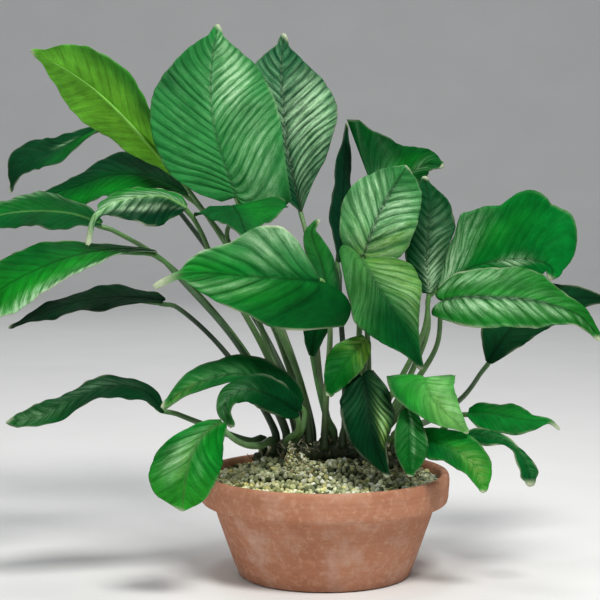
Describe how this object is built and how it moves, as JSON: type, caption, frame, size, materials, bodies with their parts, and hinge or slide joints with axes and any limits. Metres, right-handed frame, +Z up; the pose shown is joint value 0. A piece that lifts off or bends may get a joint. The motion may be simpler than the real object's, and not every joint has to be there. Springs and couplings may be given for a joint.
{
  "type": "potted anubias",
  "caption": "Broad-leaved anubias water plant, glossy leaves on long stalks from a creeping rhizome, in a plain clay pan of pale gravel.",
  "frame": {"origin": "centre of the pot's flat base, on the surface that it stands on", "axes": "+Z up; +X to the right and +Y away from the viewer in the front view, so the leaves' spread is longest along X"},
  "size_m": [0.4282, 0.2318, 0.3608],
  "materials": {
    "clay": "unglazed clay, matt",
    "gravel": "loose angular grains, matt",
    "rhizome": "waxy green skin with brown scars",
    "leaf": "leathery, glossy",
    "leaf_bright": "leathery, glossy"
  },
  "bodies": {
    "root": {"pot": "clay", "gravel": "gravel", "rhizome": "rhizome", "leaf_top_tall": "leaf", "leaf_top_right": "leaf", "leaf_top_left_back_lit": "leaf_bright", "leaf_back_left_drooping": "leaf", "leaf_back_left_long": "leaf", "leaf_left_mid": "leaf", "leaf_left_curled": "leaf", "leaf_left_bright": "leaf_bright", "leaf_left_dim": "leaf", "leaf_low_left_narrow": "leaf", "leaf_low_left_arching": "leaf", "leaf_low_left_short": "leaf", "leaf_bottom_left_round": "leaf", "leaf_under_top": "leaf", "leaf_glossy_middle": "leaf_bright", "leaf_hanging_folded": "leaf", "leaf_upright_ribbed": "leaf", "leaf_back_curled_tip": "leaf", "leaf_back_dim": "leaf", "leaf_dark_behind_ribbed": "leaf", "leaf_right_broad": "leaf", "leaf_right_long": "leaf_bright", "leaf_right_back": "leaf", "leaf_bottom_bright": "leaf_bright", "leaf_bottom_dark": "leaf", "leaf_bottom_puckered": "leaf", "leaf_bottom_pointed": "leaf", "leaf_right_low_curled": "leaf", "leaf_right_low_twisted": "leaf", "leaf_small_yellow_green": "leaf_bright", "leaf_behind_glossy": "leaf"}
  },
  "joints": []
}
